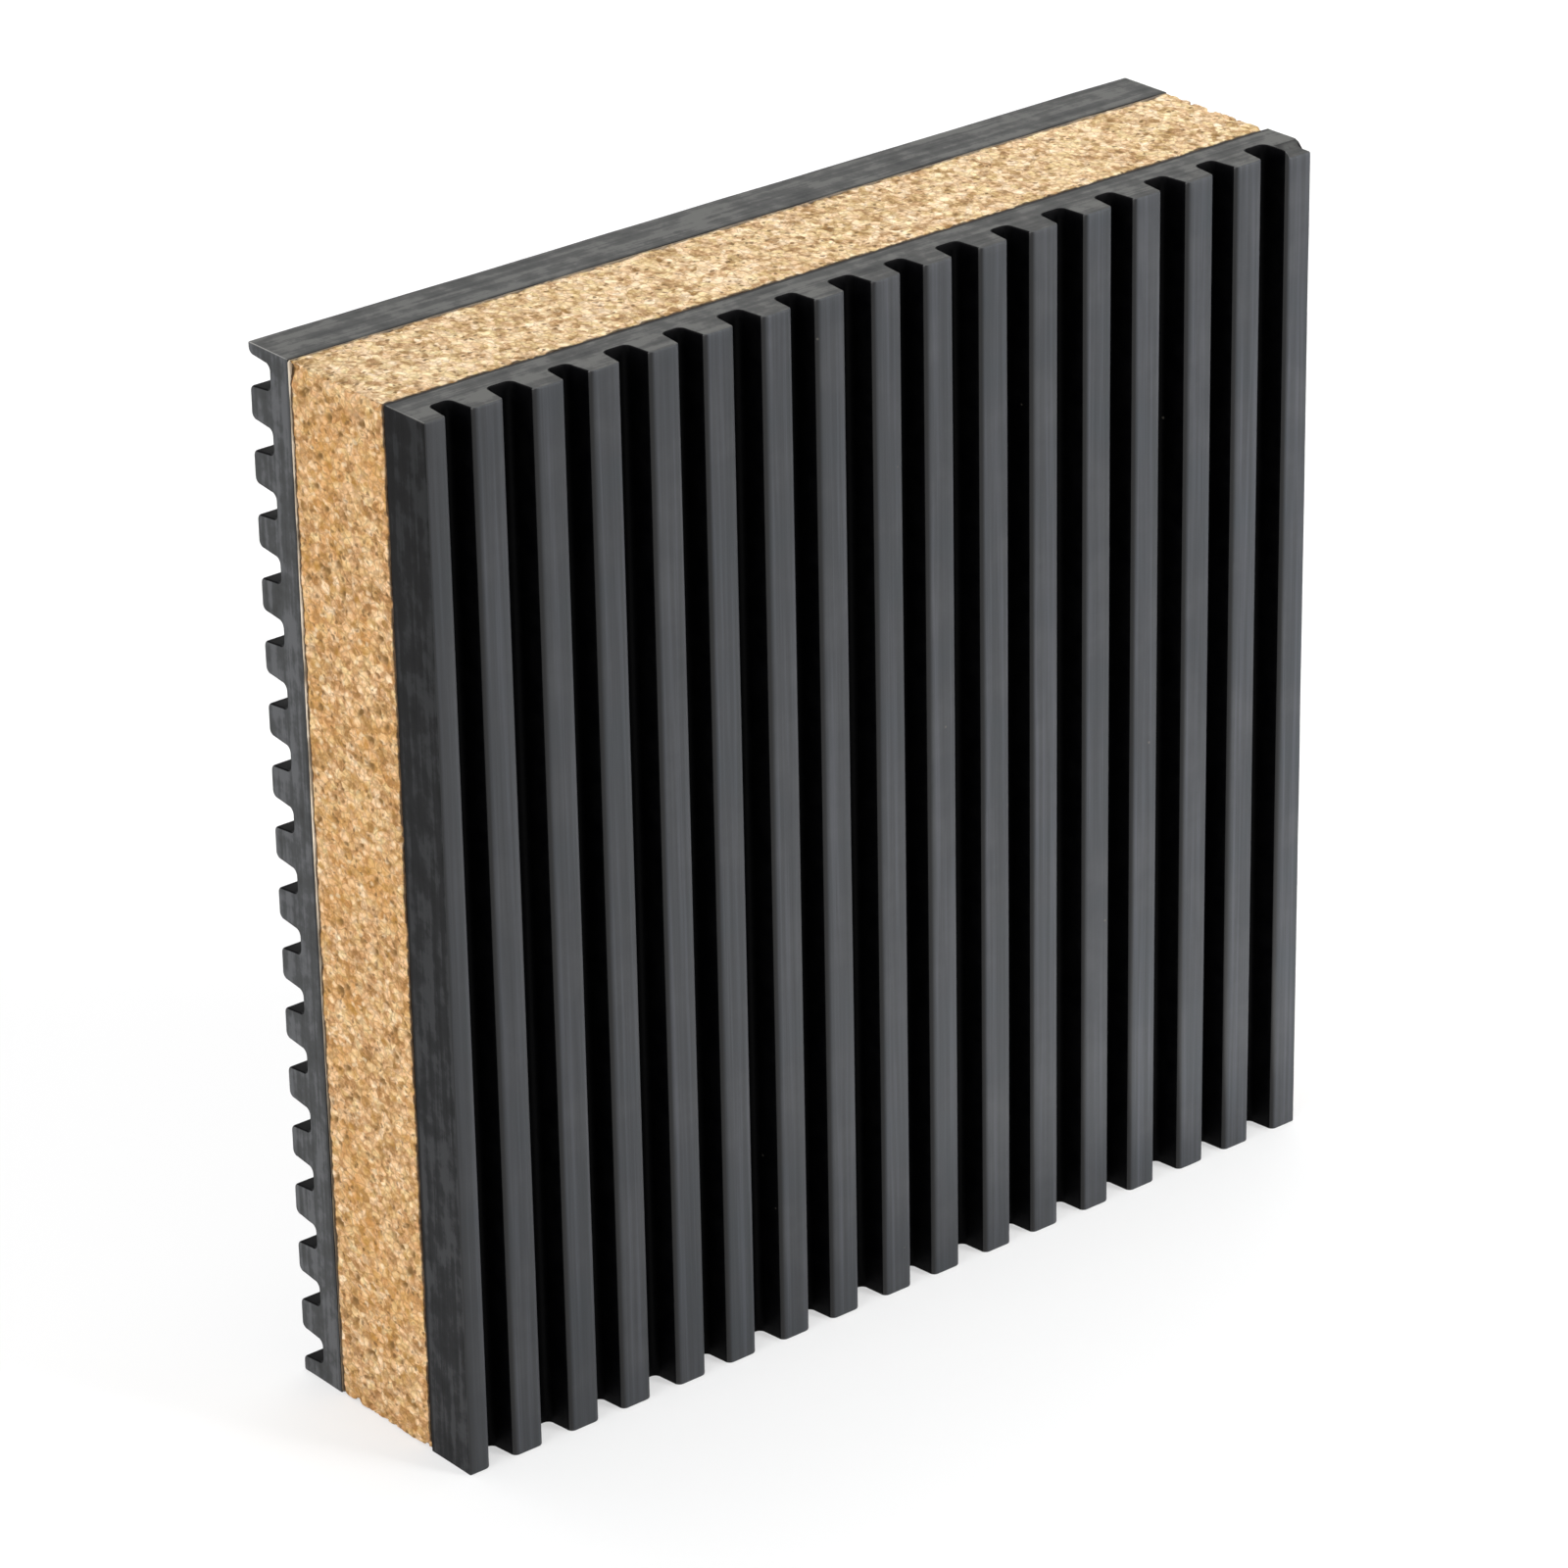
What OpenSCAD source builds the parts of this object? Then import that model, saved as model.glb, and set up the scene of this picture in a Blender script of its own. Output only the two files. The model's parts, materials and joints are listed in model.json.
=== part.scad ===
// Anti-vibration mat: a cork core bonded between two ribbed rubber sheets.
// The ribs of the front sheet stand upright and those of the rear sheet lie across them.
// The mat stands on its lower cut edge, as it is shown, with its front ribs facing -Y.
// Origin: centre of the lower edge. X runs across the front, Y from front to rear, Z up.
// All sizes are in millimetres.

/* [Mat] */
// Width of the mat, measured across the front ribs
mat_w = 101.6; // [50:0.1:305]
// Height of the mat, measured across the rear ribs
mat_h = 101.6; // [50:0.1:305]

/* [Layers] */
// Thickness of the cork core
cork_t = 13.4; // [6:0.1:40]
// Thickness of each adhesive film
film_t = 0.2; // [0.1:0.05:0.6]
// How far each adhesive film stays back from the cut edges
film_setback = 0.15; // [0:0.05:1]

/* [Ribbed rubber sheet] */
// Thickness of the rubber left under the grooves
web_t = 2.8; // [1.5:0.1:8]
// Height of the ribs above the grooves
rib_h = 3; // [2:0.1:8]
// How much each rib side leans in from its root to its crest
rib_draft = 0.3; // [0:0.05:0.4]
// Radius along the crest edges of a rib
crest_r = 0.65; // [0.1:0.05:0.8]
// Radius in the roots of a groove
root_r = 0.6; // [0.1:0.05:0.7]

/* [Front ribs] */
// Width of a rib at its crest
front_rib_w = 3.35; // [2.5:0.05:8]
// Width of the first groove from the left and every second one after it
front_groove_a = 2.65; // [2.2:0.05:8]
// Width of the grooves between them
front_groove_b = 3.1; // [2.2:0.05:8]
// Width left of the first rib where the mat was cut from its sheet
front_cut_rib_w = 2.35; // [1:0.05:2.5]

/* [Rear ribs] */
// Width of a rib at its crest
rear_rib_w = 3.1; // [2.5:0.05:8]
// Width of every groove
rear_groove_w = 2.9; // [2.2:0.05:8]
// Width left of the lowest rib where the mat was cut from its sheet
rear_cut_rib_w = 1.6; // [1:0.05:2.5]

/* [Hidden] */

// Steps in each rounded crest and root
arc_steps = 4;
// How far a groove cutter reaches out of the sheet
cut_clear = 1;

sheet_t = web_t + rib_h;
mat_t = 2 * (sheet_t + film_t) + cork_t;

// Places of the layers, from the front crests at -Y to the rear crests at +Y
front_crest_y = -mat_t / 2;
front_film_y = front_crest_y + sheet_t;
cork_y = front_film_y + film_t;
rear_film_y = cork_y + cork_t;
rear_sheet_y = rear_film_y + film_t;

// Lean of a rib side from the vertical
lean = atan(rib_draft / rib_h);

// Points of an arc about (cx, cy), from angle a0 to angle a1
function arc(cx, cy, r, a0, a1) =
    [for (i = [0 : arc_steps]) let (a = a0 + (a1 - a0) * i / arc_steps) [cx + r * cos(a), cy + r * sin(a)]];

// Half the groove's width at a height above its floor
function half_gap(w, y) = w / 2 - (rib_h - y) * tan(lean);

// Right half of a groove's section, from above its mouth down to its floor:
// round the crest edge, down the leaning side, then round the root
function half_groove(w) = let (
        crest_y = rib_h - crest_r,
        crest_x = half_gap(w, crest_y) + crest_r / cos(lean),
        root_x = half_gap(w, root_r) - root_r / cos(lean)
    ) concat(
        [[crest_x, rib_h + cut_clear]],
        arc(crest_x, crest_y, crest_r, 90, 180 + lean),
        arc(root_x, root_r, root_r, lean, -90)
    );

// Whole section of one groove, centred on X, with its floor at Y = 0
function groove(w) = let (right = half_groove(w)) concat(
        right,
        [for (i = [len(right) - 1 : -1 : 0]) [-right[i][0], right[i][1]]]
    );

// Section of a ribbed sheet: X along the mat, Y from the bonded face to the crests.
// The grooves repeat in pairs of width a and b, counted from the cut edge at X = 0.
module ribbed_section(length, cut_rib, rib, a, b) {
    pair = 2 * rib + a + b;
    difference() {
        square([length, sheet_t]);
        for (i = [0 : ceil(length / pair)]) {
            translate([cut_rib + a / 2 + i * pair, web_t]) polygon(groove(a));
            translate([cut_rib + a + rib + b / 2 + i * pair, web_t]) polygon(groove(b));
        }
    }
}

// Adhesive film between the cork and one sheet
module bond_film() {
    translate([film_setback - mat_w / 2, 0, film_setback])
        cube([mat_w - 2 * film_setback, film_t, mat_h - 2 * film_setback]);
}

// Front sheet, with upright ribs
module front_ribbed_sheet() {
    color("#4a4c4f")
    translate([-mat_w / 2, front_film_y, 0])
        mirror([0, 1, 0])
            linear_extrude(mat_h)
                ribbed_section(mat_w, front_cut_rib_w, front_rib_w, front_groove_a, front_groove_b);
}

module front_bond_film() {
    color("#5b4630") translate([0, front_film_y, 0]) bond_film();
}

// Core of compressed cork granules
module cork_core() {
    color("#cfa468") translate([-mat_w / 2, cork_y, 0]) cube([mat_w, cork_t, mat_h]);
}

module rear_bond_film() {
    color("#e6d8bd") translate([0, rear_film_y, 0]) bond_film();
}

// Rear sheet, with its ribs across the front ones
module rear_ribbed_sheet() {
    color("#4a4c4f")
    translate([-mat_w / 2, rear_sheet_y, 0])
        rotate([90, 0, 90])
            linear_extrude(mat_w)
                mirror([1, -1, 0])
                    ribbed_section(mat_h, rear_cut_rib_w, rear_rib_w, rear_groove_w, rear_groove_w);
}

front_ribbed_sheet();
front_bond_film();
cork_core();
rear_bond_film();
rear_ribbed_sheet();
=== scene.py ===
import json
import math

import bmesh
import bpy
import numpy as np
from mathutils import Matrix, Vector

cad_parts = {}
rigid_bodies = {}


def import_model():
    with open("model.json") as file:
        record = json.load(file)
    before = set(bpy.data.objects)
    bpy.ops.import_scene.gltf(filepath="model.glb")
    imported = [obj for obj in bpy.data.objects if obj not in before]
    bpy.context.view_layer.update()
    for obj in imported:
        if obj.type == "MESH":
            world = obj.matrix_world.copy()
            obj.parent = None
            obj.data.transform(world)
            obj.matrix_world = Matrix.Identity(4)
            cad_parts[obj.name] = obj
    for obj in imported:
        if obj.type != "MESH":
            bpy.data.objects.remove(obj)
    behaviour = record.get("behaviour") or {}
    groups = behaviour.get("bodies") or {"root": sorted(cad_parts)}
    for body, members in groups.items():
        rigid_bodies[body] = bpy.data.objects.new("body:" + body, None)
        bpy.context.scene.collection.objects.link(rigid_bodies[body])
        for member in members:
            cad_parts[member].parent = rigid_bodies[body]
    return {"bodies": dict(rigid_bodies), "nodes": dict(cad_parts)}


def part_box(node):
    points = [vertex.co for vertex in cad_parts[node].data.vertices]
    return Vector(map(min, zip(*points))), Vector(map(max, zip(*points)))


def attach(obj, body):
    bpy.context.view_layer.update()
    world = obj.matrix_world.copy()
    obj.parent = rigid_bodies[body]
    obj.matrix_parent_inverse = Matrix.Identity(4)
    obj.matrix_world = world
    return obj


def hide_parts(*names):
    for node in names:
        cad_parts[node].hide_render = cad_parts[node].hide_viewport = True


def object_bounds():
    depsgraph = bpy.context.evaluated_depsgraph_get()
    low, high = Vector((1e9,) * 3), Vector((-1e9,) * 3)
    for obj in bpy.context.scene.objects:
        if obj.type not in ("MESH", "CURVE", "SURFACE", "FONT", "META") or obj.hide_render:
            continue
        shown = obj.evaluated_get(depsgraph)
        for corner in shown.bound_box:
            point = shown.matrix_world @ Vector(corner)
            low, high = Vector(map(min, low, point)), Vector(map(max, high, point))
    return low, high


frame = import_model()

# The finish of a cork anti-vibration mat: moulded ribs, knife-cut edges, cork granules and glue lines.
# X runs across the front, Z is up, and the front ribs face -Y. Settings are in millimetres.

mm = 0.001
weldDistance = 0.0005 * mm
cadLow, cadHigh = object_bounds()
halfWidth, halfThickness, fullHeight = cadHigh.x, (cadHigh.y - cadLow.y) / 2, cadHigh.z
corkHalf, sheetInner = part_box("cork_core")[1].y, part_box("rear_ribbed_sheet")[0].y
bodyName = next(iter(frame["bodies"]))
print("frame loaded:", sorted(frame["nodes"]), "box", [round(v / mm, 2) for v in (cadHigh - cadLow)])


# Small tools

def toLinear(hexColour):
    # sRGB hex to linear: c / 12.92 in the toe, else ((c + 0.055) / 1.055) ^ 2.4
    c = np.array([int(hexColour[i:i + 2], 16) / 255 for i in (1, 3, 5)])
    linear = np.where(c <= 0.04045, c / 12.92, ((c + 0.055) / 1.055) ** 2.4)
    return (*[float(v) for v in linear], 1.0)


def smoothStep(low, high, x):
    # 3t^2 - 2t^3, with t running from 0 at low to 1 at high
    t = np.clip((x - low) / (high - low), 0.0, 1.0)
    return t * t * (3 - 2 * t)


def hashed(cells, seed):
    # One random number from 0 to 1 for each lattice cell: its three indices times large primes, added up and
    # mixed by shifts
    x = (cells * np.array([73856093, 19349663, 83492791])).sum(-1) + seed * 2654435761
    x = (x ^ (x >> 15)) * 2246822519 & 0xFFFFFFFF
    x = (x ^ (x >> 13)) * 3266489917 & 0xFFFFFFFF
    return ((x ^ (x >> 16)) & 0xFFFFFF) / 0xFFFFFF


def latticeNoise(points, cell, seed):
    # Random numbers on the corners of a box lattice, blended by 3t^2 - 2t^3 along each axis, from -1 to 1
    scaled = points / np.asarray(cell, float)
    base = np.floor(scaled).astype(np.int64)
    t = scaled - base
    t = t * t * (3 - 2 * t)
    total = np.zeros(points.shape[:-1])
    for corner in np.ndindex(2, 2, 2):
        weight = np.where(np.array(corner) == 1, t, 1 - t).prod(-1)
        total += weight * hashed(base + np.array(corner), seed)
    return 2 * total - 1


def depthNoise(points, cell, seed):
    # The lattice noise, moved to run from 0 to 1
    return 0.5 + 0.5 * latticeNoise(points, cell, seed)


def granuleField(points, size, seed):
    # Each lattice cell holds one seed in the middle 0.8 of it. Gives the distances to the nearest and second
    # seed, over the grain size, and a random number that belongs to the nearest one
    scaled = points / size
    base = np.floor(scaled).astype(np.int64)
    near = np.full(points.shape[:-1], 9.0)        # further away than any seed
    second = near.copy()
    tone = np.zeros_like(near)
    for step in np.ndindex(3, 3, 3):
        cell = base + np.array(step) - 1
        jitter = np.stack([hashed(cell, seed + k) for k in (1, 2, 3)], -1)
        reach = np.linalg.norm(cell + 0.1 + 0.8 * jitter - scaled, axis=-1)
        closer = reach < near
        second = np.where(closer, near, np.minimum(second, reach))
        tone = np.where(closer, hashed(cell, seed + 4), tone)
        near = np.where(closer, reach, near)
    return near, second, tone


def gridFaces(rows, columns, start, wrap=False):
    # Quads over a grid of rows x columns points, whose last column joins the first when it wraps
    width = columns if wrap else columns - 1
    r, c = np.meshgrid(np.arange(rows - 1), np.arange(width), indexing="ij")
    nextColumn = (c + 1) % columns
    quads = np.stack([r * columns + c, r * columns + nextColumn,
                      (r + 1) * columns + nextColumn, (r + 1) * columns + c], -1)
    return quads.reshape(-1, 4) + start


def makePiece(name, patches, materials, node, sharpAngle=40, values=None):
    # Welds the patches into one closed skin, fills the flat faces left open, and turns every face outward
    points, faces, indices, start = [], [], [], 0
    for patch in patches:
        rows, columns = patch["points"].shape[:2]
        points.append(patch["points"].reshape(-1, 3))
        quads = gridFaces(rows, columns, start, patch.get("wrap", False))
        faces.append(quads)
        indices.append(np.broadcast_to(patch["material"], (rows - 1, len(quads) // (rows - 1))).ravel())
        start += rows * columns
    mesh = bpy.data.meshes.new(name)
    mesh.from_pydata(np.concatenate(points) * mm, [], np.concatenate(faces))
    mesh.polygons.foreach_set("material_index", np.concatenate(indices).astype(np.int32))
    for label, numbers in (values or {}).items():
        attribute = mesh.attributes.new(label, "FLOAT", "POINT")
        attribute.data.foreach_set("value", numbers.reshape(-1).astype(np.float32))
    work = bmesh.new()
    work.from_mesh(mesh)
    bmesh.ops.remove_doubles(work, verts=work.verts, dist=weldDistance)
    openEdges = [edge for edge in work.edges if edge.is_boundary]
    if openEdges:
        bmesh.ops.edgeloop_fill(work, edges=openEdges)
    bmesh.ops.recalc_face_normals(work, faces=work.faces)
    leftOpen = sum(edge.is_boundary or not edge.is_manifold for edge in work.edges)
    work.to_mesh(mesh)
    work.free()
    mesh.shade_smooth()
    mesh.set_sharp_from_angle(angle=math.radians(sharpAngle))
    piece = bpy.data.objects.new(name, mesh)
    bpy.context.scene.collection.objects.link(piece)
    for material in materials:
        mesh.materials.append(material)
    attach(piece, bodyName)
    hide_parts(node)
    print(f"{name}: {sum(len(p.vertices) - 2 for p in mesh.polygons)} triangles, {leftOpen} open edges")


# Material tools

def newMaterial(name):
    # An empty material and its node tree
    material = bpy.data.materials.new(name)
    material.use_nodes = True
    material.node_tree.nodes.clear()
    return material, material.node_tree


def addNode(tree, kind, settings=None, links=None):
    # Adds one shader node. A setting is a ramp's stops, an attribute, or else an input's value, where a hex
    # colour turns linear. A link comes from a socket, or from a node's first output in use
    node = tree.nodes.new("ShaderNode" + kind)
    for key, value in (settings or {}).items():
        if key == "stops":
            setStops(node.color_ramp, value)
        elif isinstance(key, str) and hasattr(node, key):
            setattr(node, key, value)
        else:
            node.inputs[key].default_value = toLinear(value) if isinstance(value, str) else value
    for key, source in (links or {}).items():
        if isinstance(source, bpy.types.Node):
            source = next(socket for socket in source.outputs if socket.enabled)
        tree.links.new(source, node.inputs[key])
    return node


def setStops(ramp, stops):
    # Sets a colour ramp's stops from (place, sRGB hex) pairs
    while len(ramp.elements) < len(stops):
        ramp.elements.new(0.5)
    for element, (place, hexColour) in zip(ramp.elements, stops):
        element.position = place
        element.color = toLinear(hexColour)


# Camera: stands where the photograph's corners put it, left of the front and above the top

cameraSettings = {
    "place": (-348.4, -423.5, 306.7),   # from the origin, mm
    "azimuth": 39.22,                   # turn to the right from looking along +Y, degrees
    "tilt": 25.24,                      # downwards, degrees
    "roll": 1.08,                       # right side down, degrees
    "focalPixels": 6713,                # focal length for an image 1600 pixels wide
    "imagePixels": 1600,
    "sensor": 36.0,
    "clip": (0.01, 50),                 # metres
}


def makeCamera(s):
    azimuth, tilt, roll = (math.radians(s[k]) for k in ("azimuth", "tilt", "roll"))
    level = math.cos(tilt)
    forward = Vector((math.sin(azimuth) * level, math.cos(azimuth) * level, -math.sin(tilt)))
    levelRight = forward.cross(Vector((0, 0, 1))).normalized()
    levelUp = levelRight.cross(forward)
    right = levelRight * math.cos(roll) - levelUp * math.sin(roll)
    up = levelUp * math.cos(roll) + levelRight * math.sin(roll)
    data = bpy.data.cameras.new("matCamera")
    data.sensor_width = s["sensor"]
    data.lens = s["focalPixels"] / s["imagePixels"] * s["sensor"]
    data.clip_start, data.clip_end = s["clip"]
    camera = bpy.data.objects.new("matCamera", data)
    turn = Matrix((right, up, -forward)).transposed().to_4x4()
    camera.matrix_world = Matrix.Translation(Vector(s["place"]) * mm) @ turn
    bpy.context.scene.collection.objects.link(camera)
    bpy.context.scene.camera = camera


makeCamera(cameraSettings)
print("camera placed")


# Moulded rubber sheet with ribs

sheetSettings = {
    "web": 2.8,             # rubber under the grooves
    "ribHeight": 3.0,
    "draft": 0.3,           # lean of a rib side from root to crest
    "crestRadius": 0.65,
    "rubbedCrestAndEdgeHighlight": 0.32,         # depth below the crest where the rubbed rubber ends and the grooves' painted shade begins
    "rootRadius": 0.6,
    "arcSteps": 6,          # points on each rounded crest and root
    "flankSteps": 4,
    "acrossStep": 0.55,     # longest step on flat stretches across the ribs
    "alongStep": 1.25,      # step along the ribs
    "capRows": 13,          # rows of the cut faces, from the bonded face to the crest
    "lip": 0.13,            # rounding where the knife came through
    "lipSteps": (0, 0.12, 0.4, 1.0),  # where its points lie, over its radius
    "wave": 0.035,          # how far moulded faces wander inwards
    "waveLength": (9.0, 6.0, 26.0),   # across, through and along the ribs
    "cutWave": 0.07,        # how far cut faces wander inwards
    "cutLength": 7.0,
    "fineWave": 0.3,        # a finer wander on top, over the first one
    "finer": 6,             # how many times finer
    "noiseShift": (31.7, 3.1),        # where the two wanders' lattices start
    "cutReach": 1.6,        # how deep behind a cut face the wander fades
}
ribLayouts = {
    "front": {"cutRib": 2.35, "rib": 3.35, "grooveA": 2.65, "grooveB": 3.1, "seed": 11,
              "nick": {"depth": 0.75, "wide": 3.0, "crestPart": 1.8, "ramp": 0.35, "fade": 5.0}},
    "rear": {"cutRib": 1.6, "rib": 3.1, "grooveA": 2.9, "grooveB": 2.9, "seed": 47, "nick": None},
}


def grooveHalf(width, s):
    # Half a groove's section, from the middle of its floor outwards: a quarter arc in the root, a straight
    # side that leans by the draft, and a quarter arc over the crest edge
    lean = math.atan(s["draft"] / s["ribHeight"])

    def gapAt(height):
        return width / 2 - (s["ribHeight"] - height) * math.tan(lean)

    rootX = gapAt(s["rootRadius"]) - s["rootRadius"] / math.cos(lean)
    crestHeight = s["ribHeight"] - s["crestRadius"]
    crestX = gapAt(crestHeight) + s["crestRadius"] / math.cos(lean)
    rootTurn = np.linspace(-math.pi / 2, lean, s["arcSteps"] + 1)
    crestTurn = np.linspace(math.pi + lean, math.pi / 2, s["arcSteps"] + 1)
    rootArc = np.stack([rootX + s["rootRadius"] * np.cos(rootTurn),
                        s["rootRadius"] + s["rootRadius"] * np.sin(rootTurn)], -1)
    crestArc = np.stack([crestX + s["crestRadius"] * np.cos(crestTurn),
                         crestHeight + s["crestRadius"] * np.sin(crestTurn)], -1)
    share = np.linspace(0, 1, s["flankSteps"] + 1)[1:-1, None]
    flank = rootArc[-1] + (crestArc[0] - rootArc[-1]) * share
    return np.concatenate([rootArc, flank, crestArc])


def ribProfile(length, layout, lipSteps, s):
    # Height of the sheet over the bonded face as a function of the place across the ribs: grooves repeat in
    # pairs of width A and B from the cut edge, and straight stretches are stepped evenly
    pair = 2 * layout["rib"] + layout["grooveA"] + layout["grooveB"]
    turns = np.arange(math.ceil(length / pair) + 1) * pair
    middleA = layout["cutRib"] + layout["grooveA"] / 2 + turns
    middleB = layout["cutRib"] + layout["grooveA"] + layout["rib"] + layout["grooveB"] / 2 + turns
    across, height = [], []
    for middle, width in ((middleA, layout["grooveA"]), (middleB, layout["grooveB"])):
        half = grooveHalf(width, s)
        whole = np.concatenate([half[::-1] * (-1, 1), half])
        across.append((middle[:, None] + whole[:, 0]).ravel())
        height.append(np.tile(whole[:, 1], len(middle)))
    across, height = np.concatenate(across), np.concatenate(height)
    order = np.argsort(across)
    across, height = across[order], height[order]
    even = np.linspace(0, length, math.ceil(length / s["acrossStep"]) + 1)
    even = even[np.abs(even[:, None] - across).min(1) > s["acrossStep"] / 4]
    stops = np.unique(np.concatenate([across, even, lipSteps, length - lipSteps]))
    stops = stops[(stops >= 0) & (stops <= length)]
    return stops, s["web"] + np.interp(stops, across, height)


def lipDrop(distance, s):
    # Quarter circle: how far the surface has dropped at a distance from a cut edge, over the lip's radius
    inside = np.clip(1 - distance / s["lip"], 0, 1)
    return s["lip"] * (1 - np.sqrt(1 - inside ** 2))


def ribbedSheet(side, s):
    # The profile is carried along the ribs. Each point moves inwards along the profile's normal by the lip at
    # the cut ends and by a slow lattice noise; cut faces wander inwards by a noise that fades behind the cut
    layout = ribLayouts[side]
    low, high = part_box(side + "_ribbed_sheet")
    width, height = (high.x - low.x) / mm, (high.z - low.z) / mm
    length, run = (width, height) if side == "front" else (height, width)
    lipSteps = s["lip"] * np.array(s["lipSteps"])
    across, tall = ribProfile(length, layout, lipSteps, s)
    inner = np.linspace(0, run, math.ceil(run / s["alongStep"]) + 1)[1:-1]
    along = np.concatenate([lipSteps, inner, (run - lipSteps)[::-1]])
    slope = np.stack([np.gradient(across), np.gradient(tall)], -1)
    normal = np.stack([-slope[:, 1], slope[:, 0]], -1) / np.linalg.norm(slope, axis=-1)[:, None]
    grid = np.stack(np.broadcast_arrays(across[None, :], tall[None, :], along[:, None]), -1)
    drop = lipDrop(np.minimum(along, run - along), s)[:, None]
    drop = drop + lipDrop(np.minimum(across, length - across), s)
    drop = drop + s["wave"] * depthNoise(grid, s["waveLength"], layout["seed"])
    ribs = grid.copy()
    ribs[..., 0] -= normal[:, 0] * drop
    ribs[..., 1] -= normal[:, 1] * drop
    ribs[:, [0, -1], 0] = (0, length)

    share = np.linspace(0, 1, s["capRows"])[:, None]

    def cutFace(edge):
        # Rows from the bonded face, where the height is nought, up to an edge of the ribbed surface
        return np.stack([np.broadcast_to(edge[:, 0], (len(share), len(edge))), edge[:, 1] * share,
                         np.broadcast_to(edge[:, 2], (len(share), len(edge)))], -1)

    inGroove = (tall[:-1] + tall[1:]) / 2 < s["web"] + s["ribHeight"] - s["rubbedCrestAndEdgeHighlight"]
    patches = [{"points": ribs, "material": np.where(inGroove, 2, 0)}]
    patches += [{"points": cutFace(edge), "material": 1}
                for edge in (ribs[0], ribs[-1], ribs[:, 0], ribs[:, -1])]
    slowShift, fineShift = s["noiseShift"]
    nick = layout["nick"]
    for patch in patches:
        p = patch["points"]
        wander = s["cutWave"] * depthNoise(p + slowShift, s["cutLength"], layout["seed"] + 5)
        fineNoise = depthNoise(p + fineShift, s["cutLength"] / s["finer"], layout["seed"] + 6)
        wander = wander + s["fineWave"] * s["cutWave"] * fineNoise
        for axis, full in ((0, length), (2, run)):
            fade = 1 - smoothStep(0, s["cutReach"], p[..., axis])
            farFade = 1 - smoothStep(0, s["cutReach"], full - p[..., axis])
            p[..., axis] += wander * (fade - farFade)
        if nick:
            # the far upper corner is worn down by a step over the crest's last part
            step = smoothStep(0, nick["ramp"], p[..., 1] - (s["web"] + s["ribHeight"] - nick["crestPart"]))
            step = step * smoothStep(0, nick["ramp"], p[..., 0] - (length - nick["wide"]))
            p[..., 2] -= nick["depth"] * step * smoothStep(run - nick["fade"], run, p[..., 2])
        u, h, v = np.moveaxis(p, -1, 0)
        if side == "front":
            patch["points"] = np.stack([low.x / mm + u, high.y / mm - h, low.z / mm + v], -1)
        else:
            patch["points"] = np.stack([low.x / mm + v, low.y / mm + h, low.z / mm + u], -1)
    return patches


# Compressed cork granules

corkSettings = {
    "corner": 0.3,          # radius of the cut corners
    "step": 0.25,           # distance between points of the skin
    "granule": 0.8,         # size of a granule
    "pressed": 0.8,         # its size across over its length through the thickness
    "lift": 0.07,           # how far granules stand above each other
    "gap": 0.07,            # depth of the joints between granules
    "gapWidth": 0.25,       # their width, over the granule's size
    "pitShare": 0.05,       # share of granules that were torn out
    "pit": 0.24,            # how deep
    "pitEdge": (0.25, 0.6),   # a pit's wall, from its floor outwards, over the granule's size
    "fine": 0.03,           # roughness of the cut, and its size
    "fineLength": 0.5,
    "warp": 0.3,            # how far the granules' outlines are bent, and over what length
    "warpLength": 0.9,
    "chipShare": 0.5,       # share of granules lost along the cut corners
    "chip": 0.45,           # how deep
    "chipEdge": (0.35, 0.75),
    "chipReach": 1.1,       # how far from the corner
    "chipWhole": 0.3,       # share of that way at full depth
    "rimCrumble": 0.22,     # wear beside the rubber, its length along the rim and how far it reaches
    "rimLength": 1.3,
    "rimReach": 0.6,
    "upward": (0.5, 0.9),   # upward part of the normal where the painted top sheen begins, and where it is whole
    "seed": 5,
}


def roundedLoop(low, high, corner, step):
    # A rectangle with quarter-round corners in X and Z, as evenly stepped points, with the outward normals
    points, normals = [], []
    for k in range(4):
        turn = math.pi / 2 * k
        a = np.linspace(turn, turn + math.pi / 2, 5)
        arc = np.stack([np.cos(a), np.sin(a)], -1)
        centre = np.where(arc[2] > 0, high - corner, low + corner)
        straight = (high - low)[k % 2] - 2 * corner
        run = np.linspace(0, straight, max(2, round(straight / step)) + 1)[1:-1, None]
        ahead = np.array([-math.sin(turn + math.pi / 2), math.cos(turn + math.pi / 2)])
        points += [centre + corner * arc, centre + corner * arc[-1] + run * ahead]
        normals += [arc, np.broadcast_to(arc[-1], (len(run), 2))]
    return np.concatenate(points), np.concatenate(normals)


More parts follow.
